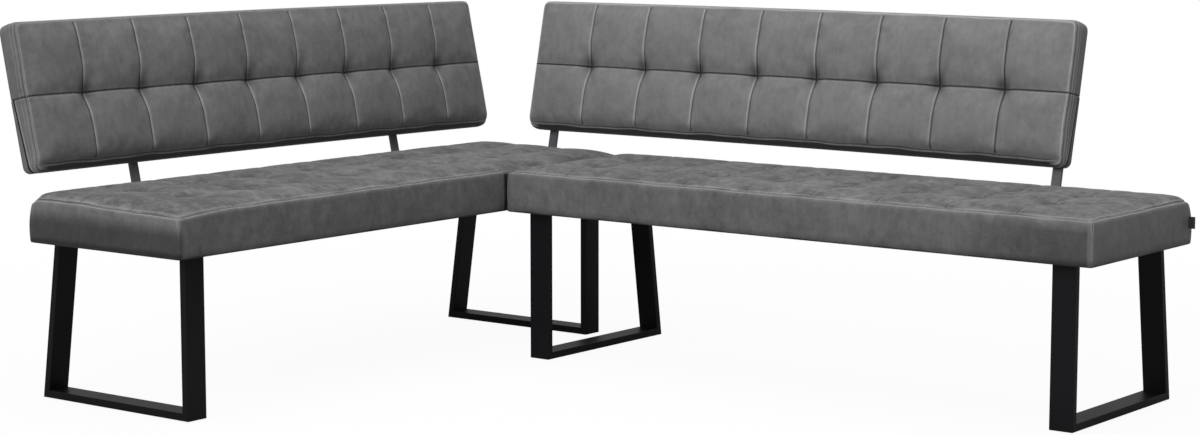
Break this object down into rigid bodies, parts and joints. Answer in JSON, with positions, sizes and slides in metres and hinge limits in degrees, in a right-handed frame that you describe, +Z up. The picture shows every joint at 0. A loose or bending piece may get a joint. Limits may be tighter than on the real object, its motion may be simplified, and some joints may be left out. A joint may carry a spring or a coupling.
{
  "type": "corner bench",
  "caption": "Upholstered corner bench with quilted seats, two leaning backrests on flat steel uprights and black rectangular-tube leg frames.",
  "frame": {"origin": "on the floor, under the middle of the bench's bounding box", "axes": "+X along the longer side section, away from the corner; +Y from the sitters' open side towards the side section's back; +Z up"},
  "size_m": [2.3237, 1.7673, 0.8973],
  "materials": {
    "cover": "matt brushed faux leather",
    "steel": "satin powder coat",
    "glide": "moulded",
    "screw": "zinc plated",
    "board": "raw plywood",
    "lining": "felted",
    "tag": "woven, bare"
  },
  "bodies": {
    "root": {"back_joining_plate": "steel", "back_joining_screw_1": "screw", "back_joining_screw_2": "screw", "corner_backrest_board": "board", "corner_backrest_cushion": "cover", "corner_backrest_lower_screw_1": "screw", "corner_backrest_lower_screw_2": "screw", "corner_backrest_rear_cover": "cover", "corner_backrest_upper_screw_1": "screw", "corner_backrest_upper_screw_2": "screw", "corner_inner_back_glide": "glide", "corner_inner_back_leg_screw": "screw", "corner_inner_front_glide": "glide", "corner_inner_front_leg_screw": "screw", "corner_inner_leg_frame": "steel", "corner_outer_back_glide": "glide", "corner_outer_back_leg_screw": "screw", "corner_outer_front_glide": "glide", "corner_outer_front_leg_screw": "screw", "corner_outer_leg_frame": "steel", "corner_seat_board": "board", "corner_seat_cushion": "cover", "corner_seat_lining": "lining", "corner_upright_inner": "steel", "corner_upright_inner_foot_screw_1": "screw", "corner_upright_inner_foot_screw_2": "screw", "corner_upright_outer": "steel", "corner_upright_outer_foot_screw_1": "screw", "corner_upright_outer_foot_screw_2": "screw", "front_joining_plate": "steel", "front_joining_screw_1": "screw", "front_joining_screw_2": "screw", "side_backrest_board": "board", "side_backrest_cushion": "cover", "side_backrest_lower_screw_1": "screw", "side_backrest_lower_screw_2": "screw", "side_backrest_rear_cover": "cover", "side_backrest_upper_screw_1": "screw", "side_backrest_upper_screw_2": "screw", "side_inner_back_glide": "glide", "side_inner_back_leg_screw": "screw", "side_inner_front_glide": "glide", "side_inner_front_leg_screw": "screw", "side_inner_leg_frame": "steel", "side_outer_back_glide": "glide", "side_outer_back_leg_screw": "screw", "side_outer_front_glide": "glide", "side_outer_front_leg_screw": "screw", "side_outer_leg_frame": "steel", "side_seat_board": "board", "side_seat_cushion": "cover", "side_seat_lining": "lining", "side_seat_tag": "tag", "side_upright_inner": "steel", "side_upright_inner_foot_screw_1": "screw", "side_upright_inner_foot_screw_2": "screw", "side_upright_outer": "steel", "side_upright_outer_foot_screw_1": "screw", "side_upright_outer_foot_screw_2": "screw"}
  },
  "joints": []
}
